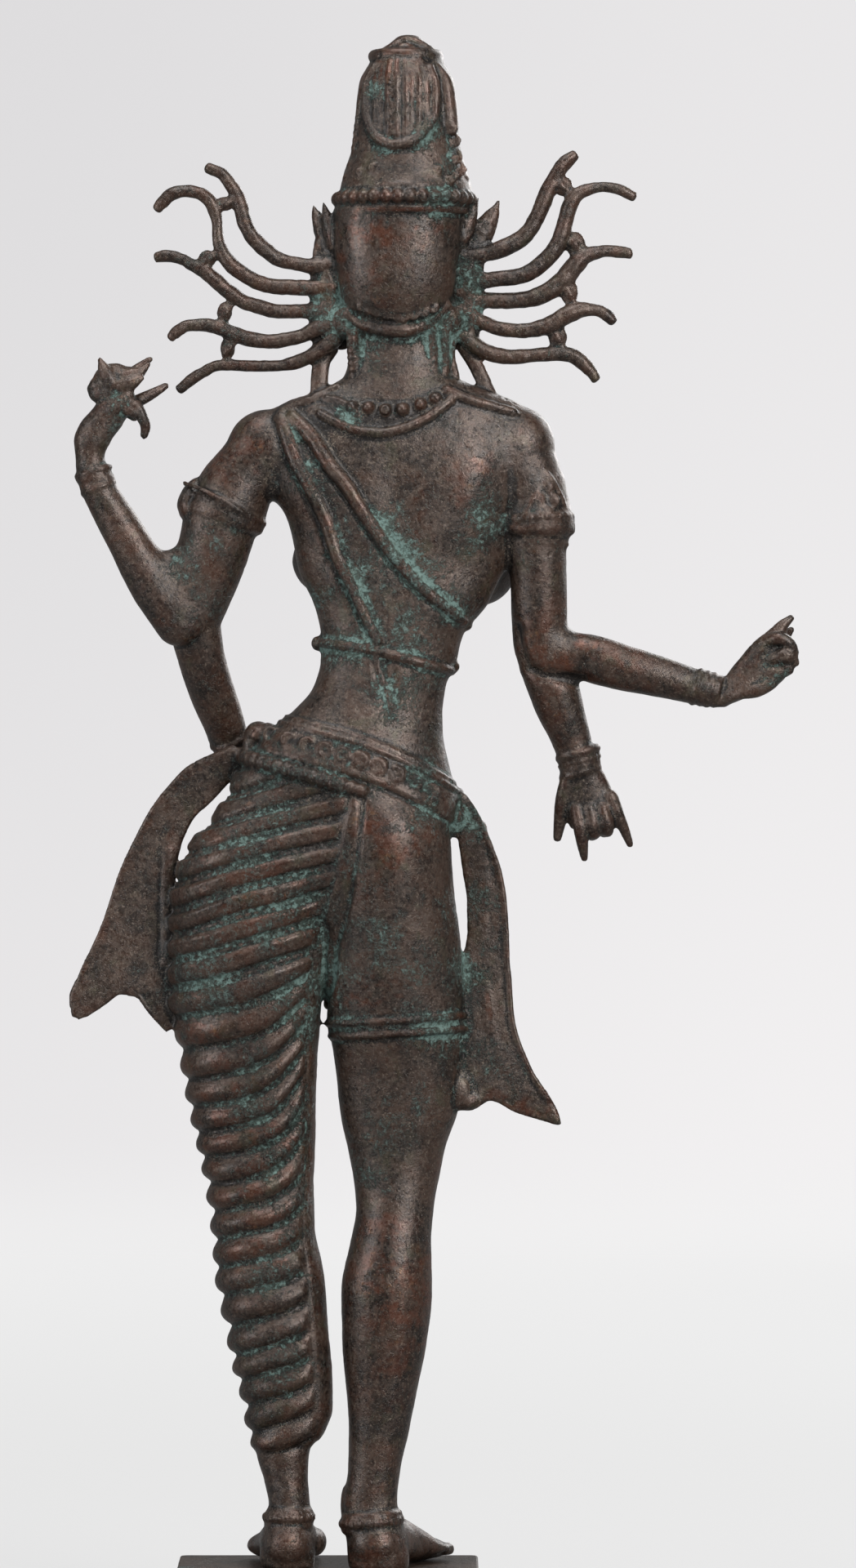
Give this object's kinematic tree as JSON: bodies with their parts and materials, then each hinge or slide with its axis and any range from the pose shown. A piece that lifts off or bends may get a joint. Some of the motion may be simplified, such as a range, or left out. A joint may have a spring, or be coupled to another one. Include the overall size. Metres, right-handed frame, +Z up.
{
  "type": "goddess statue",
  "caption": "Standing four-armed goddess in cast bronze, half draped, with fans of hair locks, on a low stepped plinth.",
  "frame": {"origin": "centre of the plinth's underside, on the surface that the statue stands on", "axes": "+Z up, the statue's front faces -Y, +X towards the statue's left"},
  "size_m": [0.4479, 0.175, 0.9631],
  "materials": {
    "figure_bronze": "dark brown cast bronze with green verdigris in the hollows and rubbed orange-brown high spots",
    "plinth_bronze": "dark brown cast bronze"
  },
  "bodies": {
    "root": {"figure": "figure_bronze", "plinth": "plinth_bronze"}
  },
  "joints": []
}
